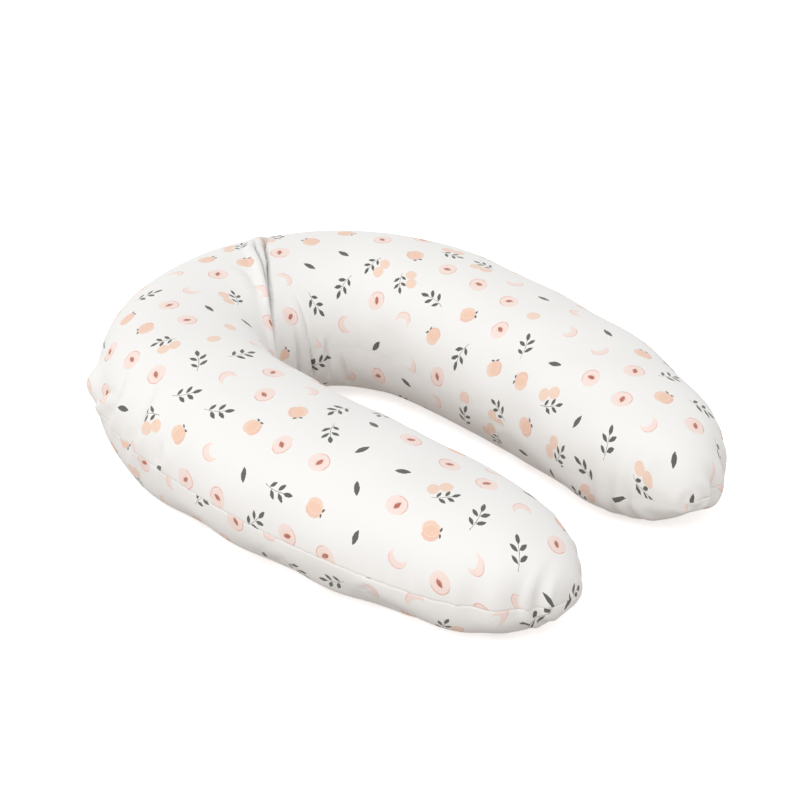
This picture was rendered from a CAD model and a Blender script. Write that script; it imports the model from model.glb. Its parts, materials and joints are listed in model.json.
# A U-shaped nursing pillow in a printed cotton cover, lying on a pale floor. The cover is one roll
# form that is inflated by cloth simulation and then creased; the inner case and the fill follow it.
# Units are metres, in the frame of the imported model.

import json
import math

import bpy
import numpy as np
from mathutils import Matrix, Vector


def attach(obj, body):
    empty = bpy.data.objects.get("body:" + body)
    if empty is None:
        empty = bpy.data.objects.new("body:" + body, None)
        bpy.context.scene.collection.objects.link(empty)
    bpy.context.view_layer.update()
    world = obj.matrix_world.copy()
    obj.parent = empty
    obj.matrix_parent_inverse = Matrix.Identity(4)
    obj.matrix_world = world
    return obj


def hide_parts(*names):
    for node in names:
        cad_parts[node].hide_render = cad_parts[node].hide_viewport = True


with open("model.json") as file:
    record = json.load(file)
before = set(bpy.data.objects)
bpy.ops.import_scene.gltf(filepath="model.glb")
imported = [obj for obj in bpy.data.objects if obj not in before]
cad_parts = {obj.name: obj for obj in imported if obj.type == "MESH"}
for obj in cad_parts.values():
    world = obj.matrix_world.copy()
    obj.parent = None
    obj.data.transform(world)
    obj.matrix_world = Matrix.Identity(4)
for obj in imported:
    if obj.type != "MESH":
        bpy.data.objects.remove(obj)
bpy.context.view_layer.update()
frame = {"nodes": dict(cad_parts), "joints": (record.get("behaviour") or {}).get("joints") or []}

# The zip's slider turns about the centre of the bend.
joint_places = {joint["name"]: joint["pos_m"] for joint in frame["joints"]}
BEND_CENTRE = Vector(joint_places["zip_slider_travel"])

# ---------------------------------------------------------------- the roll's driving dimensions

BEND_RADIUS = 0.178
BEND_HALF_ANGLE = math.radians(56)
BEND_HALF_LENGTH = BEND_RADIUS * BEND_HALF_ANGLE
EASE_LENGTH = 0.190
LEFT_LENGTH, LEFT_BOW = 0.765, 1.700
RIGHT_LENGTH, RIGHT_BOW = 0.742, 0.950
BEND_HALF_WIDTH, ARM_HALF_WIDTH, END_TAPER = 0.103, 0.1105, 0.28
BEND_HEIGHT, ARM_HEIGHT, END_HEIGHT = 0.173, 0.153, 0.123
BEND_SEAM, END_SEAM = 0.080, 0.046
TOP_SQUARENESS, UNDERSIDE_SQUARENESS = 2.15, 2.75
PRESSED_FLAT = 0.004
TIP_LENGTH, TIP_PLAN_SQUARENESS, TIP_SIDE_SQUARENESS = 0.132, 2.14, 2.5
SLIT_FROM, SLIT_TO = math.radians(-35), math.radians(49)
SLIT_HALF_GAP = 0.001
SEAM_HALF_GAP = 0.00007
SEAM_RADIUS = BEND_RADIUS + BEND_HALF_WIDTH

# ---------------------------------------------------------------- how finely the cover is divided

ROLL_STEP = 0.0062
FOLD_STEP = 0.0021
FOLD_ZONE = 0.120
TIP_STEPS = 18
ROW_STEP = 0.0052
SEAM_ROWS = [0, 0.0012, 0.003, 0.0055, 0.009, 0.0135]
FINE = 2

# ---------------------------------------------------------------- curves of the roll


def smooth(value):
    """0 below 0, 1 above 1 and an even S-curve between."""
    value = np.clip(value, 0, 1)
    return value * value * (3 - 2 * value)


def mix(low, high, share):
    """The value a share of the way from low to high."""
    return low + (high - low) * share


def curvature(s):
    """How sharply the centre line bends at a signed distance from the middle of the bend."""
    bent = 1 - smooth((np.abs(s) - BEND_HALF_LENGTH) / EASE_LENGTH)
    bow = np.where(s < 0, 1 / LEFT_BOW, 1 / RIGHT_BOW)
    return bent / BEND_RADIUS + (1 - bent) * bow


def centre_line(s, turn=1.0, stretch=0.0):
    """Points and outward directions at distances s.

    turn scales how sharply the line bends, and stretch lengthens the bend.
    """
    step = 0.0005
    fine = np.arange(-LEFT_LENGTH - step, RIGHT_LENGTH + 2 * step, step)
    middle = fine[:-1] + step / 2
    turns = turn(middle) if callable(turn) else turn
    bend_share = 1 - smooth((np.abs(middle) - BEND_HALF_LENGTH) / EASE_LENGTH)
    heading = np.concatenate([[0], np.cumsum(curvature(middle) * turns * step)])
    heading -= np.interp(0, fine, heading)
    mid_heading = (heading[1:] + heading[:-1]) / 2
    length = step * (1 + stretch * bend_share)
    x = np.concatenate([[0], np.cumsum(np.cos(mid_heading) * length)])
    y = np.concatenate([[0], np.cumsum(-np.sin(mid_heading) * length)])
    x -= np.interp(0, fine, x)
    y -= np.interp(0, fine, y)
    angle = np.interp(s, fine, heading)
    point = np.stack([np.interp(s, fine, x), np.interp(s, fine, y)], -1)
    outward = np.stack([np.sin(angle), np.cos(angle)], -1)
    return point, outward


def sizes(s):
    """Half width, height and seam height of the roll at distances s."""
    length = np.where(s < 0, LEFT_LENGTH, RIGHT_LENGTH)
    along = np.clip((np.abs(s) - BEND_HALF_LENGTH) / (length - BEND_HALF_LENGTH), 0, 1)
    taper = 1 - END_TAPER * np.clip((along - 0.3) / 0.7, 0, 1) ** 2
    half_width = mix(BEND_HALF_WIDTH, ARM_HALF_WIDTH, smooth(along / 0.45)) * taper
    shoulder = mix(BEND_HEIGHT, ARM_HEIGHT, smooth(along / 0.5))
    height = mix(shoulder, END_HEIGHT, smooth((along - 0.5) / 0.5))
    return half_width, height, mix(BEND_SEAM, END_SEAM, along)


def tip_share(s):
    """How far into an arm's rounded tip each distance is, from 0 to 1 at the very end."""
    length = np.where(s < 0, LEFT_LENGTH, RIGHT_LENGTH)
    return np.clip((np.abs(s) - length + TIP_LENGTH) / TIP_LENGTH, 0, 1)


def roll_surface(s, theta, turn=1.0, stretch=0.0):
    """The roll's surface. theta is 0 at the outer seam, 90 degrees on top and 180 at the inner seam."""
    point, outward = centre_line(s, turn, stretch)
    half_width, height, seam = sizes(s)
    tip = tip_share(s)
    plan_cap = np.sqrt(np.maximum(1 - tip**TIP_PLAN_SQUARENESS, 0))
    side_cap = np.sqrt(np.maximum(1 - tip**TIP_SIDE_SQUARENESS, 0))
    is_top = np.sin(theta) >= 0
    power = np.where(is_top, 2 / TOP_SQUARENESS, 2 / UNDERSIDE_SQUARENESS)[None]
    cosine, sine = np.cos(theta)[None], np.sin(theta)[None]
    across = np.sign(cosine) * np.abs(cosine) ** power * (half_width * plan_cap)[:, None]
    rise = np.where(is_top[None], (height - seam)[:, None], -(seam + PRESSED_FLAT)[:, None])
    z = seam[:, None] + rise * np.abs(sine) ** power * side_cap[:, None]
    base = point[:, None, :] + outward[:, None, :] * across[..., None]
    base += np.array([BEND_CENTRE.x, BEND_CENTRE.y + BEND_RADIUS])
    return np.concatenate([base, np.maximum(z, 0)[..., None]], -1)


# ---------------------------------------------------------------- the grid of rings and rows


def ring_distances():
    """Where the rings stand along the roll: even, closer round the folds and towards each end."""
    start, end = TIP_LENGTH - LEFT_LENGTH, RIGHT_LENGTH - TIP_LENGTH
    fine = np.linspace(start, end, 4000)
    spacing = mix(FOLD_STEP, ROLL_STEP, smooth((np.abs(fine) - FOLD_ZONE) / 0.06))
    count = np.concatenate([[0], np.cumsum(np.diff(fine) / ((spacing[1:] + spacing[:-1]) / 2))])
    middle = np.interp(np.linspace(0, count[-1], int(count[-1])), count, fine)
    ease = np.sin(np.arange(1, TIP_STEPS + 1) / TIP_STEPS * math.pi / 2)
    left = start - TIP_LENGTH * ease
    right = end + TIP_LENGTH * ease
    return np.concatenate([left[::-1], middle, right])


def half_rows(squareness, rise):
    """Angles from 0 to 180 degrees whose rows lie evenly on the surface, and closer at the seams."""
    angle = np.linspace(0, math.pi, 4001)
    power = 2 / squareness
    x = np.sign(np.cos(angle)) * np.abs(np.cos(angle)) ** power * BEND_HALF_WIDTH
    z = np.abs(np.sin(angle)) ** power * rise
    girth = np.concatenate([[0], np.cumsum(np.hypot(np.diff(x), np.diff(z)))])
    half = girth[-1] / 2
    steps = round((half - SEAM_ROWS[-1]) / ROW_STEP)
    first = np.concatenate([SEAM_ROWS[:-1], np.linspace(SEAM_ROWS[-1], half, steps + 1)])
    places = np.concatenate([first, girth[-1] - first[-2::-1]])
    return np.interp(places, girth, angle)


def upsample(values, axis):
    """Twice as many samples along an axis, on a smooth curve through the given ones."""
    values = np.moveaxis(values, axis, 0)
    padded = np.concatenate([2 * values[:1] - values[1:2], values, 2 * values[-1:] - values[-2:-1]])
    between = (9 * (padded[1:-2] + padded[2:-1]) - padded[:-3] - padded[3:]) / 16
    out = np.empty((2 * len(values) - 1, *values.shape[1:]))
    out[0::2] = values
    out[1::2] = between
    return np.moveaxis(out, 0, axis)


ring_s = ring_distances()
top_rows = half_rows(TOP_SQUARENESS, BEND_HEIGHT - BEND_SEAM)
under_rows = half_rows(UNDERSIDE_SQUARENESS, BEND_SEAM + PRESSED_FLAT)
row_theta = np.concatenate([top_rows, math.pi + under_rows[1:]])  # the last row is the first again
SEAM_ROW = len(top_rows) - 1


def normals_of(grid):
    """Outward unit normals of a closed grid of rings and rows."""
    along = np.gradient(grid, axis=0)
    around = np.empty_like(grid)
    around[:, 1:-1] = grid[:, 2:] - grid[:, :-2]
    around[:, 0] = grid[:, 1] - grid[:, -2]
    around[:, -1] = around[:, 0]
    normal = np.cross(around, along)
    normal[0], normal[-1] = normal[1].mean(0), normal[-2].mean(0)
    return normal / np.maximum(np.linalg.norm(normal, axis=-1, keepdims=True), 1e-12)


def grid_faces(rings, rows, closed):
    """Faces between rings 1 to rings-2 and the two end points; vertex 0 and the last are the ends."""
    def vertex(ring, row):
        if ring == 0:
            return 0
        if ring == rings - 1:
            return (rings - 2) * rows + 1
        return 1 + (ring - 1) * rows + row % rows
    faces = []
    for ring in range(rings - 1):
        for row in range(rows if closed else rows - 1):
            corners = [
                vertex(ring, row),
                vertex(ring, row + 1),
                vertex(ring + 1, row + 1),
                vertex(ring + 1, row),
            ]
            faces.append([c for i, c in enumerate(corners) if c != corners[i - 1]])
    return faces


def flat_vertices(grid):
    """The grid's vertices in the order that grid_faces uses."""
    return np.concatenate([grid[:1, 0], grid[1:-1].reshape(-1, grid.shape[-1]), grid[-1:, 0]])


def new_object(name, vertices, faces):
    """A smooth-shaded mesh object in the scene."""
    mesh = bpy.data.meshes.new(name)
    mesh.from_pydata([tuple(v) for v in vertices], [], faces)
    mesh.shade_smooth()
    obj = bpy.data.objects.new(name, mesh)
    bpy.context.scene.collection.objects.link(obj)
    return obj


# ---------------------------------------------------------------- inflating the cover

PRESSURE = 3.0
CLOTH_FRAMES = 18
MOST_OUTWARD, MOST_INWARD = 0.007, 0.006
RIPPLE_LENGTH, RIPPLE_HEIGHT = 0.026, 0.0017


def waves(x, seed, count=5):
    """A smooth irregular curve between about -1 and 1 with a period of about 1."""
    random = np.random.default_rng(seed)
    total = np.zeros_like(x)
    for frequency in random.uniform(0.6, 1.5, count):
        total += np.sin(2 * math.pi * (x * frequency + random.random()))
    return total / math.sqrt(count)


def seam_distance(grid):
    """How far each grid point lies from the nearer seam, along the surface."""
    steps = np.linalg.norm(np.diff(grid, axis=1), axis=-1)
    girth = np.concatenate([np.zeros((len(grid), 1)), np.cumsum(steps, 1)], 1)
    finer = (grid.shape[1] - 1) // (len(row_theta) - 1)
    seam = SEAM_ROW * finer
    to_inner = np.abs(girth - girth[:, seam : seam + 1])
    return np.minimum(np.minimum(girth, girth[:, -1:] - girth), to_inner)


def slit_share(s, theta, reach=0.02):
    """1 beside the zip's slit and 0 well away from it, for keeping the cloth there as it is."""
    angle = s / BEND_RADIUS
    inside = smooth((angle - SLIT_FROM + 0.12) / 0.1) * (1 - smooth((angle - SLIT_TO - 0.02) / 0.1))
    from_seam = np.minimum(theta, 2 * math.pi - theta) * 0.1
    near = 1 - smooth((from_seam - reach / 2) / reach)
    return inside[:, None] * near[None]


def inflated(base):
    """The roll after the cloth simulation: where each grid point moves to."""
    rings, rows = base.shape[0], base.shape[1] - 1
    faces = grid_faces(rings, rows, closed=True)
    start = flat_vertices(base[:, :-1])
    obj = new_object("cover_cloth", start, faces)
    rest = roll_surface(ring_s, row_theta, turn=0.86, stretch=0.045)
    near_seam = 1 - smooth((seam_distance(base) - 0.008) / 0.045)
    ripple = waves(ring_s / RIPPLE_LENGTH, 3)[:, None] * near_seam * (1 - slit_share(ring_s, row_theta))
    rest = rest + normals_of(rest) * (ripple * RIPPLE_HEIGHT)[..., None]
    obj.shape_key_add(name="Basis")
    key = obj.shape_key_add(name="rest")
    key.data.foreach_set("co", flat_vertices(rest[:, :-1]).ravel())
    hold = np.full(base.shape[:2], 0.04)
    hold = np.maximum(hold, np.where(base[..., 2] < 0.0005, 1.0, 0.0))
    hold[:, 0] = hold[:, -1] = np.maximum(hold[:, 0], 0.10)
    hold[:, SEAM_ROW] = np.maximum(hold[:, SEAM_ROW], 0.04)
    hold = np.maximum(hold, slit_share(ring_s, row_theta))
    group = obj.vertex_groups.new(name="hold")
    for index, weight in enumerate(flat_vertices(hold[:, :-1, None])[:, 0]):
        group.add([index], float(weight), "REPLACE")
    modifier = obj.modifiers.new("Cloth", "CLOTH")
    cloth = modifier.settings
    cloth.quality = 4
    cloth.mass = 0.15
    cloth.tension_stiffness = cloth.compression_stiffness = 12
    cloth.shear_stiffness = 4
    cloth.bending_stiffness = 0.35
    cloth.use_pressure = True
    cloth.uniform_pressure_force = PRESSURE
    cloth.vertex_group_mass = "hold"
    cloth.pin_stiffness = 1.0
    cloth.rest_shape_key = key
    cloth.effector_weights.gravity = 0
    modifier.collision_settings.use_collision = False
    scene = bpy.context.scene
    for number in range(1, CLOTH_FRAMES + 1):
        scene.frame_set(number)
    evaluated = obj.evaluated_get(bpy.context.evaluated_depsgraph_get())
    flat = np.empty(3 * len(start))
    evaluated.data.vertices.foreach_get("co", flat)
    scene.frame_set(1)
    bpy.data.objects.remove(obj)
    flat = flat.reshape(-1, 3)
    moved = base.copy()
    moved[1:-1, :-1] = flat[1:-1].reshape(rings - 2, rows, 3)
    moved[0], moved[-1] = flat[0], flat[-1]
    moved[:, -1] = moved[:, 0]
    return moved


def capped(base, moved):
    """The simulated movement, with its part across the surface kept within the caps."""
    normal = normals_of(base)
    shift = moved - base
    across = np.sum(shift * normal, -1, keepdims=True)
    sliding = shift - across * normal
    return np.clip(across, -MOST_INWARD, MOST_OUTWARD) * normal + 0.7 * sliding


base_grid = roll_surface(ring_s, row_theta)
shift_grid = capped(base_grid, inflated(base_grid))

# ---------------------------------------------------------------- the fine grid and its creases

fine_s = upsample(ring_s, 0)
fine_theta = upsample(row_theta, 0)
FINE_SEAM_ROW = FINE * SEAM_ROW
fine_base = roll_surface(fine_s, fine_theta)
fine_shift = upsample(upsample(shift_grid, 0), 1)

# The gathers: how far apart the scallops are, and how high they are at the tips and along the arms.
PUCKER_SPACING = 0.031
TIP_GATHER = 0.0085
SEAM_GATHER = 0.0016

SEAM_GROOVE_DEPTH = 0.0005
SEAM_GROOVE_WIDTH = 0.0012
LUMP_HEIGHT = 0.0016


def surface_point(s, degrees):
    """A point of the roll's plain surface."""
    return roll_surface(np.array([s]), np.array([math.radians(degrees)]))[0, 0]


def crease_path(points):
    """A smooth line on the surface through points given as distance (m) and angle (degrees)."""
    points = np.array(points, float)
    places = np.arange(len(points))
    fine = np.linspace(0, len(points) - 1, 120)
    weights = np.stack([np.interp(fine, places, points[:, k]) for k in range(2)], -1)
    for _ in range(60):
        weights[1:-1] = (weights[:-2] + 2 * weights[1:-1] + weights[2:]) / 4
    return np.array([surface_point(s, degrees) for s, degrees in weights])


def crease_field(points, normals, path):
    """For each point near a path: how far along it (0 to 1), and the signed distance to its side."""
    distance = np.full(len(points), 1.0)
    along = np.zeros(len(points))
    side = np.zeros(len(points))
    tangent = np.gradient(path, axis=0)
    tangent /= np.linalg.norm(tangent, axis=-1, keepdims=True)
    near = np.all((points > path.min(0) - 0.07) & (points < path.max(0) + 0.07), -1)
    chosen = np.flatnonzero(near)
    for chunk in np.array_split(chosen, max(1, len(chosen) // 4000)):
        gap = np.linalg.norm(points[chunk, None] - path[None], axis=-1)
        nearest = gap.argmin(1)
        distance[chunk] = gap[np.arange(len(chunk)), nearest]
        along[chunk] = nearest / (len(path) - 1)
        offset = points[chunk] - path[nearest]
        turned = np.cross(tangent[nearest], offset)
        side[chunk] = np.sign(np.sum(turned * normals[chunk], -1))
    return along, distance * side


def fade(along, start, end):
    """1 along the middle of a crease, falling to 0 at its two ends over the given shares."""
    return smooth(along / start) * smooth((1 - along) / end)


# Each crease: its path as (distance from the middle of the bend in m, angle in degrees), how deep
# and wide the groove is, the height of the swell on its right side and how far away that lies, and
# the shares of the path over which the crease fades at its start and end.
CREASES = [
    dict(
        path=[
            (0.078, 52), (0.063, 70), (0.037, 103), (-0.006, 132), (-0.054, 152),
            (-0.101, 168), (-0.120, 182),
        ],
        depth=0.0190, width=0.0017, swell=0.0040, reach=0.011, fades=(0.22, 0.16),
    ),
    dict(
        path=[(0.052, 72), (0.036, 88), (0.020, 108), (-0.013, 132), (-0.038, 143)],
        depth=0.0110, width=0.0016, swell=0.0030, reach=0.009, fades=(0.25, 0.15),
    ),
    dict(
        path=[(-0.015, 90), (-0.013, 108), (-0.032, 128), (-0.073, 147)],
        depth=0.0020, width=0.0060, swell=0.0016, reach=0.016, fades=(0.4, 0.4),
    ),
    dict(
        path=[
            (0.040, 136), (0.044, 148), (0.047, 160), (0.050, 172), (0.058, 184),
            (0.069, 196), (0.075, 215),
        ],
        depth=0.0062, width=0.0014, swell=0.0014, reach=0.009, fades=(0.30, 0.2),
    ),
    dict(
        path=[(0.145, 182), (0.151, 195), (0.160, 213), (0.165, 228)],
        depth=0.0045, width=0.0030, swell=0.0016, reach=0.012, fades=(0.4, 0.4),
    ),
    dict(
        path=[(0.100, 172), (0.107, 188), (0.112, 210)],
        depth=0.0040, width=0.0026, swell=0.0012, reach=0.010, fades=(0.4, 0.3),
    ),
    dict(
        path=[(0.010, 160), (0.018, 185), (0.030, 215)],
        depth=0.0070, width=0.0036, swell=0.0024, reach=0.012, fades=(0.4, 0.3),
    ),
    dict(
        path=[(-0.246, -10), (-0.258, 8), (-0.266, 24), (-0.262, 44), (-0.250, 60)],
        depth=0.0060, width=0.0060, swell=0.0045, reach=0.018, fades=(0.30, 0.5),
    ),
    dict(
        path=[(-0.208, -8), (-0.220, 10), (-0.226, 26), (-0.218, 44)],
        depth=0.0055, width=0.0055, swell=0.0040, reach=0.015, fades=(0.30, 0.5),
    ),
    dict(
        path=[(-0.185, -4), (-0.192, 8), (-0.205, 18), (-0.222, 26)],
        depth=0.0045, width=0.0040, swell=0.0030, reach=0.011, fades=(0.3, 0.4),
    ),
    dict(
        path=[(-0.292, -4), (-0.302, 12), (-0.300, 24)],
        depth=0.0034, width=0.0050, swell=0.0022, reach=0.014, fades=(0.4, 0.5),
    ),
]

# Local lumps and dents: place, height and radius.
LUMPS = [
    ((-0.172, 8), 0.0125, 0.019),
    ((-0.147, 17), -0.0085, 0.014),
    ((-0.196, 3), 0.0050, 0.015),
]


def creased(points, normals, deeper=0.0, wider=1.0):
    """The height that the creases and lumps add at each point."""
    height = np.zeros(len(points))
    for crease in CREASES:
        along, side = crease_field(points, normals, crease["line"])
        strength = fade(along, *crease["fades"])
        width = crease["width"] * wider
        groove = -(crease["depth"] + deeper) / (1 + (side / width) ** 2) ** 1.5
        place = (side + crease["reach"] * 0.9) / crease["reach"]
        swell = crease["swell"] * np.exp(-place**2 * 2)
        reach = smooth(1.25 - np.abs(side) / 0.05)
        height += strength * (groove + swell) * reach
    for (s, degrees), rise, radius in LUMPS:
        away = np.linalg.norm(points - surface_point(s, degrees), axis=-1) / radius
        height += rise * np.exp(-away**2)
    return height


for crease in CREASES:
    crease["line"] = crease_path(crease["path"])


def seam_lengths(grid):
    """How far along each seam every ring lies, counted from the middle of the bend outwards."""
    lengths = []
    for row in (0, FINE_SEAM_ROW):
        steps = np.linalg.norm(np.diff(grid[:, row], axis=0), axis=-1)
        length = np.concatenate([[0], np.cumsum(steps)])
        lengths.append(length - np.interp(0, fine_s, length))
    return lengths


def seam_puckers(s, theta, distance):
    """The gathers that run away from the seam: small along the arms and deep round the tips."""
    is_outer = np.cos(theta) > 0
    tip = smooth((tip_share(s) - 0.05) / 0.45)
    heights = np.zeros((len(s), len(theta)))
    outer_length, inner_length = seam_lengths(fine_base)
    seams = [(is_outer, outer_length, SEAM_GATHER), (~is_outer, inner_length, SEAM_GATHER / 2)]
    for seed, (on_side, length, gather_height) in enumerate(seams):
        place = length / PUCKER_SPACING + 0.22 * waves(length / 0.11, 31 + seed)
        scallop = 0.36 - np.abs(np.sin(math.pi * place)) ** 0.75
        strength = np.clip(0.85 + 0.4 * waves(length / 0.07, 41 + seed), 0.3, 1.4)
        gathers = waves(length / 0.019, 51 + seed) * 0.45
        calm = np.clip(0.6 + 0.5 * waves(length / 0.13, 61 + seed), 0, 1.3)
        to_end = np.minimum(length[-1] - length, length - length[0])
        fading = smooth(to_end / 0.022)
        gather = gather_height * gathers * calm
        height = mix(gather, TIP_GATHER * scallop * strength, tip) * fading
        reach = (mix(0.017, 0.040, tip) * mix(0.35, 1, smooth(to_end / 0.07)))[:, None]
        side_heights = height[:, None] * np.exp(-((distance / reach) ** 2))
        heights[:, on_side] = side_heights[:, on_side]
    return heights


def finished_cover():
    """The cover's fine grid: inflated, lumpy, creased, gathered at the seam and flat underneath."""
    grid = fine_base + fine_shift
    grid[..., 2] = np.maximum(grid[..., 2], 0)
    normal = normals_of(grid)
    points = flat_vertices(grid)
    flat_normals = flat_vertices(normal)
    heights = np.zeros(grid.shape[:2])
    detail = creased(points, flat_normals)
    heights[1:-1] = detail[1:-1].reshape(grid.shape[0] - 2, -1)
    distance = seam_distance(fine_base)
    heights += seam_puckers(fine_s, fine_theta, distance)
    outer_side = smooth(0.5 + np.cos(fine_theta))[None]
    heights -= SEAM_GROOVE_DEPTH * outer_side * np.exp(-((distance / SEAM_GROOVE_WIDTH) ** 2))
    girth = fine_theta[None] * 0.1
    lumps = waves(fine_s / 0.16, 21)[:, None] * waves(girth / 0.14, 22)
    heights += LUMP_HEIGHT * lumps * (1 - np.exp(-((distance / 0.03) ** 2)))
    heights *= 1 - slit_share(fine_s, fine_theta)
    heights[:, -1] = heights[:, 0]
    heights *= smooth(grid[..., 2] / 0.012)
    grid = grid + normal * heights[..., None]
    grid[..., 2] = np.maximum(grid[..., 2], 0)
    grid[0], grid[-1] = grid[0].mean(0), grid[-1].mean(0)
    return grid


cover_grid = finished_cover()

# ---------------------------------------------------------------- panels cut from the grid


def pattern_places(columns, outward_side):
    """Where each point of a panel lay on the flat cloth, in metres: a crescent-shaped pattern.

    The lengths are those of the roll before its creases, which don't stretch the cloth.
    """
    grid = (fine_base + fine_shift)[:, columns]
    steps = np.linalg.norm(np.diff(grid, axis=1), axis=-1)
    girth = np.concatenate([np.zeros((len(grid), 1)), np.cumsum(steps, 1)], 1)
    girth = (girth[:, -1:] / 2 - girth) * outward_side
    half_width = sizes(fine_s)[0]
    half_girth = np.maximum(np.abs(girth[:, 0]), 1e-4)
    flatter = np.clip(half_width / np.maximum(half_girth, 0.12), 0.3, 1.0)
    point, outward = centre_line(fine_s, turn=lambda s: np.interp(s, fine_s, flatter))
    height = grid[:, grid.shape[1] // 2, 2]
    height = np.interp(fine_s, ring_s, height[::FINE])
    length = np.concatenate([[0], np.cumsum(np.hypot(np.diff(fine_s), np.diff(height)))])
    longer = length - np.interp(0, fine_s, length) - fine_s
    along = np.stack([outward[:, 1], -outward[:, 0]], -1)
    ends = point + along * longer[:, None]
    return ends[:, None] + outward[:, None] * girth[..., None]


def mark_sharp(obj, rows, sharp_rows):
    """Marks the edges along some rows of a grid's mesh as sharp."""
    edge_ends = np.empty(2 * len(obj.data.edges), int)
    obj.data.edges.foreach_get("vertices", edge_ends)
    end_rows = ((edge_ends - 1) % rows).reshape(-1, 2)
    is_sharp = np.any([np.all(end_rows == row, axis=1) for row in sharp_rows], axis=0)
    sharp = obj.data.attributes.new("sharp_edge", "BOOLEAN", "EDGE")
    sharp.data.foreach_set("value", is_sharp)


def panel(name, columns, is_top, uv_shift=(0, 0), turn_in=0.0022):
    """One cloth panel of the cover between its two seams, with its cut edges turned in at both."""
    grid = opened_at_seams(cover_grid[:, columns], is_top)
    inward = grid[:, [0, -1]].mean(1, keepdims=True) - grid[:, [0, -1]]
    inward[..., 2] = 0
    length = np.maximum(np.linalg.norm(inward, axis=-1, keepdims=True), 1e-9)
    turned = grid[:, [0, -1]] + inward / length * np.minimum(turn_in, length * 0.5)
    whole = np.concatenate([turned[:, :1], grid, turned[:, 1:]], 1)
    flat = pattern_places(columns, 1 if is_top else -1) + np.array(uv_shift)
    places = np.concatenate([flat[:, :1], flat, flat[:, -1:]], 1)
    faces = grid_faces(*whole.shape[:2], closed=False)
    obj = new_object(name, flat_vertices(whole), faces)
    uv_layer = obj.data.uv_layers.new(name="pattern")
    corner_vertices = np.empty(len(obj.data.loops), int)
    obj.data.loops.foreach_get("vertex_index", corner_vertices)
    uv_layer.data.foreach_set("uv", flat_vertices(places)[corner_vertices].ravel())
    obj.data.materials.append(cotton_print)
    rows = whole.shape[1]
    mark_sharp(obj, rows, (1, rows - 2))
    return obj


def half_gap(s):
    """Half the gap at the outer seam: open along the zip's slit and closed elsewhere."""
    angle = s / BEND_RADIUS
    inside = smooth((angle - SLIT_FROM + 0.06) / 0.06) * (1 - smooth((angle - SLIT_TO) / 0.06))
    return mix(SEAM_HALF_GAP, SLIT_HALF_GAP, inside)


def opened_at_seams(grid, is_top):
    """The panel's grid with its edges moved off the seam line by half the gap."""
    grid = grid.copy()
    side = 1 if is_top else -1
    outer, inner = (0, -1) if is_top else (-1, 0)
    for row in range(5):
        share = 1 - row / 5
        outer_row = outer + (row if is_top else -row)
        inner_row = inner + (-row if is_top else row)
        grid[:, outer_row, 2] += side * half_gap(fine_s) * share
        grid[:, inner_row, 2] += side * SEAM_HALF_GAP * share
    return grid


LAYER_STEP = 2
LAYER_SEAM_ROW = FINE_SEAM_ROW // LAYER_STEP


def layer(across, upright, deeper, wider):
    """A coarser grid inside the cover that gives way at each fold.

    It lies deeper than the cover by across at the seams and by upright on top and underneath.
    """
    normal = normals_of(fine_base)
    share = np.abs(np.sin(fine_theta))[None, :, None]
    inner = fine_base + fine_shift - normal * mix(across, upright, share)
    heights = np.zeros(inner.shape[:2])
    deep = creased(flat_vertices(fine_base + fine_shift), flat_vertices(normal), deeper, wider)
    heights[1:-1] = np.minimum(deep, 0)[1:-1].reshape(inner.shape[0] - 2, -1)
    inner = inner + normal * heights[..., None]
    inner = inner[::LAYER_STEP, ::LAYER_STEP]
    inner[..., 2] = np.maximum(inner[..., 2], upright)
    inner[0], inner[-1] = inner[0].mean(0), inner[-1].mean(0)
    return inner


def shell(name, grid, material, closed=False):
    """A plain surface over a grid: a panel, or closed all round."""
    grid = grid[:, :-1] if closed else grid
    obj = new_object(name, flat_vertices(grid), grid_faces(*grid.shape[:2], closed))
    obj.data.materials.append(material)
    return obj


# ---------------------------------------------------------------- materials


def linear(red, green, blue):
    """A colour as a shader wants it, from 0 to 255 values as seen on a screen."""
    channels = [((value / 255 + 0.055) / 1.055) ** 2.4 for value in (red, green, blue)]
    return (*channels, 1.0)


def darker(colour, share):
    """A colour with its brightness scaled down to a share."""
    return (*(channel * share for channel in colour[:3]), 1.0)


class Signal:
    """A number in a material's node tree, on which arithmetic writes Math nodes."""

    def __init__(self, tree, socket):
        self.tree, self.socket = tree, socket

    def math(self, operation, *others):
        node = self.tree.nodes.new("ShaderNodeMath")
        node.operation = operation
        for place, value in enumerate((self, *others)):
            if isinstance(value, Signal):
                self.tree.links.new(value.socket, node.inputs[place])
            else:
                node.inputs[place].default_value = value
        return Signal(self.tree, node.outputs[0])

    def __add__(self, other):
        return self.math("ADD", other)

    def __sub__(self, other):
        return self.math("SUBTRACT", other)

    def __mul__(self, other):
        return self.math("MULTIPLY", other)

    def __truediv__(self, other):
        return self.math("DIVIDE", other)

    def absolute(self):
        return self.math("ABSOLUTE")

    def floor(self):
        return self.math("FLOOR")

    def most(self, other):
        return self.math("MAXIMUM", other)

    def above(self, value):
        return self.math("GREATER_THAN", value)

    def root(self):
        return self.math("SQRT")

    def step(self, low, high):
        """0 below low, 1 above high and smooth between."""
        node = self.tree.nodes.new("ShaderNodeMapRange")
        node.interpolation_type = "SMOOTHSTEP"
        self.tree.links.new(self.socket, node.inputs["Value"])
        node.inputs["From Min"].default_value = low
        node.inputs["From Max"].default_value = high
        return Signal(self.tree, node.outputs["Result"])


def placed(x, y, centre_x, centre_y, angle):
    """Coordinates about a centre, turned by an angle in degrees."""
    cosine, sine = math.cos(math.radians(angle)), math.sin(math.radians(angle))
    across, up = x - centre_x, y - centre_y
    return across * cosine + up * sine, up * cosine - across * sine


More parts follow.
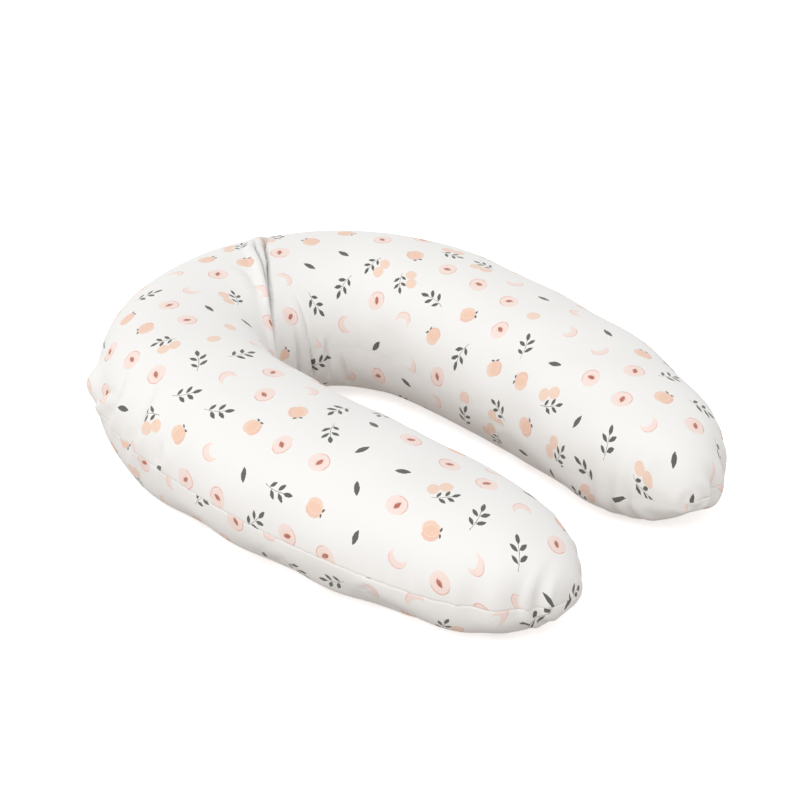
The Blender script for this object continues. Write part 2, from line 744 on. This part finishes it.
def leaf(x, y, centre, angle, length, width, edge=0.22):
    """The ink of a leaf that is pointed at both ends. Sizes here and below are millimetres."""
    along, across = placed(x, y, *centre, angle)
    place = along / (length / 2)
    return ((place * place * -1 + 1) * (width / 2) - across.absolute()).step(-edge, edge)


def ellipse(x, y, centre, angle, width, height, edge=0.5):
    """The ink of an ellipse, and how far out each place lies, with 1 at its edge."""
    along, across = placed(x, y, *centre, angle)
    along, across = along / (width / 2), across / (height / 2)
    radius = (along * along + across * across).root()
    return (radius * -1 + 1).step(-edge / width, edge / width), radius


def stem(x, y, centre, angle, length, bow, width=0.55):
    """The ink of a thin bowed stalk."""
    along, across = placed(x, y, *centre, angle)
    line = (across - along * along * bow).absolute() * -1 + width / 2
    return line.step(-0.15, 0.15) * (along.absolute() * -1 + length / 2).step(-0.2, 0.2)


# The leaves of a sprig: middle, angle in degrees and length.
SPRIG_LEAVES = [
    ((-2.4, 17.6), 104, 12),
    ((4.2, 10.2), 48, 11.5),
    ((-6.2, 7.6), 146, 11),
    ((5.2, -0.4), 40, 11.5),
    ((-5.0, -3.4), 140, 10),
]
LEAF_FULLNESS = 0.42


def sprig(x, y, size=1.0):
    """A bowed stalk with a leaf at its end and leaves that spring from both its sides."""
    ink = stem(x, y, (0, 0), 90, 26 * size, 0.012 / size)
    for (across, up), angle, length in SPRIG_LEAVES:
        place = (across * size, up * size)
        ink = ink.most(leaf(x, y, place, angle, length * size, length * size * LEAF_FULLNESS))
    return ink


# The inks, as they look on the screen.
INK = {
    "cloth": linear(231, 230, 228),
    "apricot": linear(231, 195, 172),
    "peach": linear(227, 178, 154),
    "blush": linear(235, 212, 204),
    "rim": linear(216, 146, 133),
    "stone": linear(168, 84, 70),
    "leaf": linear(77, 77, 70),
}


# The motifs. Each one is a list of inks from below to above: where the ink is, its colour's name and
# how strongly it covers.


def peach_half(x, y):
    """A halved fruit that shows its stone."""
    body, radius = ellipse(x, y, (0, 0), 0, 25, 22)
    ring = ((radius - 0.93).absolute() * -1 + 0.035).step(-0.03, 0.02) * (x + y * 0.6).step(0, 6)
    halo = ellipse(x, y, (0.4, -0.4), 40, 12, 9, edge=3)[0]
    stone = leaf(x, y, (0.6, -0.4), 60, 10, 5.2, edge=0.4)
    return [(body, "blush", 0.9), (halo, "apricot", 0.35), (ring, "rim", 0.8), (stone, "stone", 0.95)]


def whole_peach(x, y):
    """A whole fruit of two round halves with two small leaves."""
    left = ellipse(x, y, (-2.6, 0), 8, 16, 19)[0]
    right, radius = ellipse(x, y, (2.4, 0.3), -8, 17, 19)
    edge = ((radius - 0.95).absolute() * -1 + 0.05).step(-0.03, 0.03) * (x * -1).step(-1, 5) * left
    leaves = leaf(x, y, (-3.6, -10.2), 8, 5.4, 2.2).most(leaf(x, y, (2.9, -10.4), -14, 5.6, 2.3))
    return [(left, "peach", 0.85), (right, "apricot", 0.9), (edge, "blush", 0.8), (leaves, "leaf", 0.95)]


def slice_of_peach(x, y):
    """A crescent slice with a darker skin line."""
    outer, radius = ellipse(x, y, (0, 0), 0, 22, 20)
    inner = ellipse(x, y, (5.4, 4.4), 0, 19.5, 17)[0]
    body = outer * (inner * -1 + 1)
    line = ((radius - 0.95).absolute() * -1 + 0.035).step(-0.03, 0.02) * (x * -1 - y * 0.8).step(0, 8)
    return [(body, "blush", 0.95), (line * body, "rim", 0.7)]


def fruit_sprig(x, y):
    """Two round fruits beside a sprig."""
    fruit = ellipse(x, y, (-8.5, 4.5), 20, 14, 15)[0].most(ellipse(x, y, (-6, -9), -30, 15, 13)[0])
    return [(fruit, "apricot", 0.85), (sprig(x - 7, y + 1, 0.85), "leaf", 0.95)]


def single_fruit(x, y):
    """One round fruit."""
    return [(ellipse(x, y, (0, 0), 30, 17, 15)[0], "apricot", 0.8)]


def single_leaf(x, y):
    """One loose leaf."""
    return [(leaf(x, y, (0, 0), 0, 17.5, 6.6), "leaf", 0.95)]


def leafy_sprig(x, y):
    """A sprig without fruit."""
    return [(sprig(x, y + 4), "leaf", 0.95)]


# Each motif with its share of the print.
MOTIFS = [
    (peach_half, 0.17),
    (whole_peach, 0.15),
    (slice_of_peach, 0.19),
    (fruit_sprig, 0.12),
    (leafy_sprig, 0.17),
    (single_leaf, 0.13),
    (single_fruit, 0.07),
]

# The print's cells in millimetres. Every second row is shifted by half a cell.
MOTIF_SPACING = 50.0
MOTIF_ROW_HEIGHT = 44.0


def node(tree, kind, **inputs):
    """A new shader node with some of its inputs set."""
    made = tree.nodes.new(kind)
    for name, value in inputs.items():
        made.inputs[name.replace("_", " ")].default_value = value
    return made


def mixed(tree, factor, under, over):
    """One colour laid over another by a factor."""
    blend = tree.nodes.new("ShaderNodeMix")
    blend.data_type = "RGBA"
    tree.links.new(factor.socket, blend.inputs["Factor"])
    for place, colour in (("A", under), ("B", over)):
        socket = [s for s in blend.inputs if s.name == place and s.type == "RGBA"][0]
        if isinstance(colour, tuple):
            socket.default_value = colour
        else:
            tree.links.new(colour, socket)
    return [s for s in blend.outputs if s.type == "RGBA"][0]


def print_colour(tree, x, y):
    """The cloth's colour with the fruit print, from places on the flat cloth in millimetres."""
    row = (y / MOTIF_ROW_HEIGHT).floor()
    half_drop = (row / 2).math("FRACT")
    column_place = x / MOTIF_SPACING + half_drop
    column = column_place.floor()
    cell = tree.nodes.new("ShaderNodeCombineXYZ")
    tree.links.new(column.socket, cell.inputs[0])
    tree.links.new(row.socket, cell.inputs[1])
    dice = tree.nodes.new("ShaderNodeTexWhiteNoise")
    dice.noise_dimensions = "3D"
    tree.links.new(cell.outputs[0], dice.inputs["Vector"])
    parts = tree.nodes.new("ShaderNodeSeparateColor")
    tree.links.new(dice.outputs["Color"], parts.inputs[0])
    red, green, blue = (Signal(tree, parts.outputs[k]) for k in range(3))
    kind = Signal(tree, dice.outputs["Value"])
    local_x = (column_place - column - 0.5) * MOTIF_SPACING + (red - 0.5) * 9
    local_y = (y / MOTIF_ROW_HEIGHT - row - 0.5) * MOTIF_ROW_HEIGHT + (green - 0.5) * 7
    turn = blue * (2 * math.pi)
    cosine, sine = turn.math("COSINE"), turn.math("SINE")
    motif_x = local_x * cosine + local_y * sine
    motif_y = local_y * cosine - local_x * sine
    brush = node(tree, "ShaderNodeTexNoise", Scale=0.35, Detail=2.0)
    place = tree.nodes.new("ShaderNodeCombineXYZ")
    tree.links.new(x.socket, place.inputs[0])
    tree.links.new(y.socket, place.inputs[1])
    tree.links.new(place.outputs[0], brush.inputs["Vector"])
    wobble = Signal(tree, brush.outputs["Fac"]) - 0.5
    motif_x, motif_y = motif_x + wobble * 1.6, motif_y - wobble * 1.6
    wash = wobble * 0.5 + 0.92
    colour = INK["cloth"]
    start = 0.0
    for motif, share in MOTIFS:
        end = start + share
        chosen = kind.above(start) * (kind.above(end) * -1 + 1)
        for ink, name, strength in motif(motif_x, motif_y):
            factor = ink * chosen * strength
            colour = mixed(tree, factor * wash if name != "leaf" else factor, colour, INK[name])
        start = end
    return colour


def shader(name, roughness, sheen=0.0, specular=0.3):
    """A new material with its Principled shader."""
    material = bpy.data.materials.new(name)
    material.use_nodes = True
    tree = material.node_tree
    principled = tree.nodes["Principled BSDF"]
    principled.inputs["Roughness"].default_value = roughness
    principled.inputs["Specular IOR Level"].default_value = specular
    principled.inputs["Sheen Weight"].default_value = sheen
    principled.inputs["Sheen Roughness"].default_value = 0.6
    return material, tree, principled


def add_bump(tree, principled, height, strength, distance):
    """Gives a shader small relief from a height signal."""
    bump = node(tree, "ShaderNodeBump", Strength=strength, Distance=distance)
    tree.links.new(height.socket, bump.inputs["Height"])
    tree.links.new(bump.outputs[0], principled.inputs["Normal"])


def weave(x, y, pitch):
    """The height of a plain weave whose threads are a pitch apart."""
    warp = (x * (2 * math.pi / pitch)).math("SINE")
    weft = (y * (2 * math.pi / pitch)).math("SINE")
    return (warp * weft) * 0.5 + 0.5


def noise(tree, vector, scale, detail=3.0):
    """An irregular signal between 0 and 1."""
    texture = node(tree, "ShaderNodeTexNoise", Scale=scale, Detail=detail)
    tree.links.new(vector, texture.inputs["Vector"])
    return Signal(tree, texture.outputs["Fac"])


def printed_cotton(name):
    """White cotton with the fruit print, laid out on the panels' flat pattern."""
    material, tree, principled = shader(name, roughness=0.88, sheen=0.18, specular=0.22)
    places = tree.nodes.new("ShaderNodeUVMap")
    places.uv_map = "pattern"
    split = tree.nodes.new("ShaderNodeSeparateXYZ")
    tree.links.new(places.outputs[0], split.inputs[0])
    x, y = Signal(tree, split.outputs[0]) * 1000, Signal(tree, split.outputs[1]) * 1000
    colour = print_colour(tree, x, y)
    tree.links.new(colour, principled.inputs["Base Color"])
    crumple = noise(tree, places.outputs[0], 60, 4)
    height = weave(x, y, 0.9) * 0.10 + crumple * 1.2
    add_bump(tree, principled, height, 0.35, 0.0009)
    return material


def plain_cloth(name, colour, pitch, roughness=0.9, sheen=0.15, scale=90):
    """Plain woven cloth, for what lies under the cover: tapes, labels, the inner case."""
    material, tree, principled = shader(name, roughness, sheen, 0.2)
    places = tree.nodes.new("ShaderNodeTexCoord").outputs["Object"]
    split = tree.nodes.new("ShaderNodeSeparateXYZ")
    tree.links.new(places, split.inputs[0])
    x, y, z = (Signal(tree, split.outputs[k]) * 1000 for k in range(3))
    mottle = noise(tree, places, scale)
    shade = mixed(tree, (mottle - 0.3) * 0.6, colour, darker(colour, 0.9))
    tree.links.new(shade, principled.inputs["Base Color"])
    height = weave(x + y, z, pitch) * 0.4 + mottle
    add_bump(tree, principled, height, 0.4, 0.0005)
    return material


def hard_material(name, colour, roughness):
    """Enamel or nylon with a slightly uneven finish."""
    material, tree, principled = shader(name, roughness, 0.0, 0.5)
    places = tree.nodes.new("ShaderNodeTexCoord").outputs["Object"]
    wear = noise(tree, places, 400)
    shade = mixed(tree, (wear - 0.45) * 0.5, colour, darker(colour, 0.82))
    tree.links.new(shade, principled.inputs["Base Color"])
    add_bump(tree, principled, wear, 0.15, 0.0002)
    return material


cotton_print = printed_cotton("printed_cotton_cloth")
case_cotton = plain_cloth("inner_case_cloth", linear(232, 229, 222), 0.8)
fill_fibre = plain_cloth("fibre_fill_wadding", linear(244, 244, 242), 3.0, sheen=0.4, scale=35)
tape_cloth = plain_cloth("zip_tape_cloth", linear(236, 233, 227), 0.7)
label_cloth = plain_cloth("label_satin_cloth", linear(250, 250, 248), 0.4, roughness=0.45)
zip_nylon = hard_material("zip_nylon_coil", linear(238, 235, 229), 0.42)
zip_enamel = hard_material("zip_enamel_metal", linear(240, 237, 231), 0.32)

# ---------------------------------------------------------------- the cover, the case and the fill

TOP = slice(0, FINE_SEAM_ROW + 1)
UNDER = slice(FINE_SEAM_ROW, None)

cover_top = panel("cover_top_cloth", TOP, is_top=True)
cover_under = panel("cover_bottom_cloth", UNDER, is_top=False, uv_shift=(2.31, 1.17))

case_grid = layer(across=0.0092, upright=0.0040, deeper=0.002, wider=2.0)
case_top = shell("inner_case_top_cloth", case_grid[:, : LAYER_SEAM_ROW + 1], case_cotton)
case_under = shell("inner_case_bottom_cloth", case_grid[:, LAYER_SEAM_ROW:], case_cotton)

fill_grid = layer(across=0.0125, upright=0.0075, deeper=0.004, wider=2.6)
clumps_along = waves(fine_s[::LAYER_STEP] / 0.045, 71)
clumps_around = waves(fine_theta[::LAYER_STEP] * 0.1 / 0.05, 72)
dents = 0.0008 * (1 + np.clip(clumps_along[:, None] * clumps_around[None], -1, 1))
fill_grid[1:-1] -= (normals_of(fill_grid) * dents[..., None])[1:-1]
fibre_fill = shell("fibre_fill_wad", fill_grid, fill_fibre, closed=True)

for piece, slot_name, replaced in (
    (cover_top, "printed_cotton", "outer_cover_top"),
    (cover_under, "printed_cotton", "outer_cover_bottom"),
    (case_top, "plain_cotton", "inner_case_top"),
    (case_under, "plain_cotton", "inner_case_bottom"),
    (fibre_fill, "fibre_fill", "fill"),
):
    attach(piece, "pillow")
    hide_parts(replaced)

# ---------------------------------------------------------------- the zip and the labels


def round_the_bend(angle, radius, z):
    """A place at an angle clockwise round the bend from its back."""
    x = BEND_CENTRE.x + radius * np.sin(angle)
    y = BEND_CENTRE.y + radius * np.cos(angle)
    return np.stack([x, y, z], -1)


def wire(name, path, thickness, material, sides=6):
    """A round wire along a path."""
    tangent = np.gradient(path, axis=0)
    tangent /= np.linalg.norm(tangent, axis=-1, keepdims=True)
    away = path - np.array([BEND_CENTRE.x, BEND_CENTRE.y, 0])
    away[:, 2] = 0
    one = np.cross(tangent, away)
    one /= np.linalg.norm(one, axis=-1, keepdims=True)
    other = np.cross(tangent, one)
    turn = np.arange(sides) / sides * 2 * math.pi
    ring = np.cos(turn)[None, :, None] * one[:, None] + np.sin(turn)[None, :, None] * other[:, None]
    places = (path[:, None] + thickness / 2 * ring).reshape(-1, 3)
    faces = []
    for ring_number in range(len(path) - 1):
        for side in range(sides):
            first, second = ring_number * sides + side, ring_number * sides + (side + 1) % sides
            faces.append([first, second, second + sides, first + sides])
    faces.append(list(range(sides))[::-1])
    faces.append(list(range(len(places) - sides, len(places))))
    obj = new_object(name, places, faces)
    obj.data.materials.append(material)
    return obj


# The coils: the angles that they run between, their depth under the seam and their pitch.
COIL_FROM = math.radians(-33.9)
COIL_TO = math.radians(48.4)
COIL_DEPTH = 0.0045
COIL_PITCH = 0.0014
COIL_WIRE = 0.00055


def coil(name, side):
    """One half of the nylon coil: a flattened spiral sewn along the tape's edge."""
    length = (COIL_TO - COIL_FROM) * (SEAM_RADIUS - COIL_DEPTH)
    turns = length / COIL_PITCH
    t = np.linspace(0, turns, int(turns * 12))
    phase = 2 * math.pi * t + (0 if side > 0 else math.pi)
    angle = COIL_FROM + (COIL_TO - COIL_FROM) * t / turns
    radius = SEAM_RADIUS - COIL_DEPTH + 0.00056 * np.sin(phase)
    z = BEND_SEAM + side * (0.00200 - 0.00075 * np.cos(phase))
    return wire(name, round_the_bend(angle, radius, z), COIL_WIRE, zip_nylon)


for side, which in ((1, "upper"), (-1, "lower")):
    half_coil = coil("zip_coil_teeth_" + which, side)
    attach(half_coil, "pillow")
    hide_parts("zip_coil_" + which)


def softened(name, node_name, material, width):
    """A CAD node's shape with its hard edges rounded."""
    source = frame["nodes"][node_name]
    mesh = source.data.copy()
    mesh.transform(source.matrix_world)
    mesh.materials.clear()
    mesh.materials.append(material)
    obj = bpy.data.objects.new(name, mesh)
    bpy.context.scene.collection.objects.link(obj)
    weld = obj.modifiers.new("weld", "WELD")
    weld.merge_threshold = 1e-6
    bevel = obj.modifiers.new("edges", "BEVEL")
    bevel.width = width
    bevel.segments = 3
    bevel.limit_method = "ANGLE"
    bevel.angle_limit = math.radians(40)
    result = bpy.data.meshes.new_from_object(obj.evaluated_get(bpy.context.evaluated_depsgraph_get()))
    obj.modifiers.clear()
    obj.data = result
    result.shade_smooth()
    result.set_sharp_from_angle(angle=math.radians(35))
    return obj


ENAMEL_PIECES = [
    ("zip_slider_enamelled", "zip_slider_body", "zip_slider", 0.00028),
    ("zip_pull_enamelled", "zip_pull_tab", "zip_pull", 0.00030),
    ("zip_top_stop_upper_clip", "zip_top_stop_upper", "pillow", 0.00018),
    ("zip_top_stop_lower_clip", "zip_top_stop_lower", "pillow", 0.00018),
    ("zip_bottom_stop_clip", "zip_bottom_stop", "pillow", 0.00018),
]
for piece_name, node_name, body, width in ENAMEL_PIECES:
    enamelled = softened(piece_name, node_name, zip_enamel, width)
    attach(enamelled, body)
    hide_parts(node_name)

for node_name in ("zip_tape_upper", "zip_tape_lower"):
    for slot in frame["nodes"][node_name].material_slots:
        slot.material = tape_cloth

LABEL_WIDTH = 0.024
LABEL_LENGTH = 0.034
LABEL_MIDDLE = 0.029  # how far the label's middle hangs below the seam
LABEL_LEAN = math.radians(9)
LABEL_COLUMNS = 25
LABEL_ROWS = 33


def ribbon_label(name, angle, depth):
    """A blank satin label that hangs from the seam inside the cover, slightly curled."""
    columns, rows = np.linspace(-1, 1, LABEL_COLUMNS), np.linspace(0, 1, LABEL_ROWS)
    across, down = np.meshgrid(columns, rows, indexing="ij")
    along = across * LABEL_WIDTH / 2
    hang = (down - 0.5) * LABEL_LENGTH
    curl = 0.0005 * np.cos(across * 2.2) * np.sin(down * math.pi) + 0.0003 * np.sin(down * 6)
    radius = SEAM_RADIUS - depth + hang * math.sin(LABEL_LEAN) * -1 + curl
    z = BEND_SEAM - LABEL_MIDDLE - hang * math.cos(LABEL_LEAN)
    tangent = np.array([math.cos(angle), -math.sin(angle), 0])
    places = round_the_bend(np.full(radius.shape, angle), radius, z) + along[..., None] * tangent
    faces = []
    for column in range(LABEL_COLUMNS - 1):
        for row in range(LABEL_ROWS - 1):
            corner = column * LABEL_ROWS + row
            faces.append([corner, corner + 1, corner + LABEL_ROWS + 1, corner + LABEL_ROWS])
    obj = new_object(name, places.reshape(-1, 3), faces)
    obj.data.materials.append(label_cloth)
    return obj


for node_name, angle, depth, sewn_to in (
    ("care_label", math.radians(20), 0.0082, cover_under),
    ("inner_case_label", math.radians(-18), 0.0100, case_under),
):
    label = ribbon_label(node_name + "_ribbon", angle, depth)
    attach(label, "pillow")
    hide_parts(node_name)

# ---------------------------------------------------------------- floor, light and camera

FLOOR_GLOW = 0.50
ZENITH_LIGHT = (0.50, 0.50, 0.50, 1)
HORIZON_LIGHT = (1.42, 1.42, 1.415, 1)
GROUND_LIGHT = (0.36, 0.305, 0.27, 1)
SKY_STRENGTH = 0.96
SUN_STRENGTH = 1.28
SUN_SPREAD = math.radians(50)
SUN_FROM = Vector((-0.62, -0.12, 0.72))
FLOOR_REACH = 40.0
FLOOR_HEIGHT = -0.0006


def studio():
    """A pale floor that runs to the horizon under a bright even sky, with a soft light from above."""
    signs = ((-1, -1), (1, -1), (1, 1), (-1, 1))
    corners = [(x * FLOOR_REACH, y * FLOOR_REACH, FLOOR_HEIGHT) for x, y in signs]
    floor_mesh = bpy.data.meshes.new("floor")
    floor_mesh.from_pydata(corners, [], [(0, 1, 2, 3)])
    floor = bpy.data.objects.new("floor", floor_mesh)
    bpy.context.scene.collection.objects.link(floor)
    material, tree, principled = shader("floor_white", 0.95, 0.0, 0.0)
    principled.inputs["Base Color"].default_value = (0.92, 0.92, 0.92, 1)
    principled.inputs["Emission Color"].default_value = (1, 1, 1, 1)
    principled.inputs["Emission Strength"].default_value = FLOOR_GLOW
    floor_mesh.materials.append(material)
    floor.visible_diffuse = False  # the sky's ground light stands in for what the floor would reflect
    world = bpy.data.worlds.new("studio")
    world.use_nodes = True
    tree = world.node_tree
    places = tree.nodes.new("ShaderNodeTexCoord")
    split = tree.nodes.new("ShaderNodeSeparateXYZ")
    tree.links.new(places.outputs["Generated"], split.inputs[0])
    rise = Signal(tree, split.outputs[2])
    sky = mixed(tree, rise.most(0.0), HORIZON_LIGHT, ZENITH_LIGHT)
    light = mixed(tree, rise.step(-0.30, 0.02), GROUND_LIGHT, sky)
    tree.links.new(light, tree.nodes["Background"].inputs["Color"])
    tree.nodes["Background"].inputs["Strength"].default_value = SKY_STRENGTH
    bpy.context.scene.world = world
    light = bpy.data.lights.new("side_light", "SUN")
    light.energy = SUN_STRENGTH
    light.angle = SUN_SPREAD
    light.color = (1, 0.995, 0.985)
    lamp = bpy.data.objects.new("side_light", light)
    lamp.rotation_euler = (-SUN_FROM).to_track_quat("-Z", "Y").to_euler()
    bpy.context.scene.collection.objects.link(lamp)


CAMERA_AZIMUTH, CAMERA_ELEVATION = math.radians(-46.0), math.radians(27.34)
CAMERA_DISTANCE = 2.6825
CAMERA_LENS = 106.13
CAMERA_AIM = Vector((-0.0031, BEND_RADIUS - 0.2796, 0.0833))  # from the bend's centre, over the floor


def camera():
    """The camera, in front of the left arm and well above the floor."""
    data = bpy.data.cameras.new("camera")
    data.lens = CAMERA_LENS
    data.sensor_width = 36
    obj = bpy.data.objects.new("camera", data)
    azimuth, elevation = CAMERA_AZIMUTH, CAMERA_ELEVATION
    back = Vector((
        math.sin(azimuth) * math.cos(elevation),
        -math.cos(azimuth) * math.cos(elevation),
        math.sin(elevation),
    ))
    aim = Vector((BEND_CENTRE.x, BEND_CENTRE.y, 0)) + CAMERA_AIM
    obj.location = aim + back * CAMERA_DISTANCE
    obj.rotation_mode = "QUATERNION"
    obj.rotation_quaternion = (-back).to_track_quat("-Z", "Y")
    bpy.context.scene.collection.objects.link(obj)
    bpy.context.scene.camera = obj


studio()
camera()
bpy.context.scene.view_settings.view_transform = "Standard"
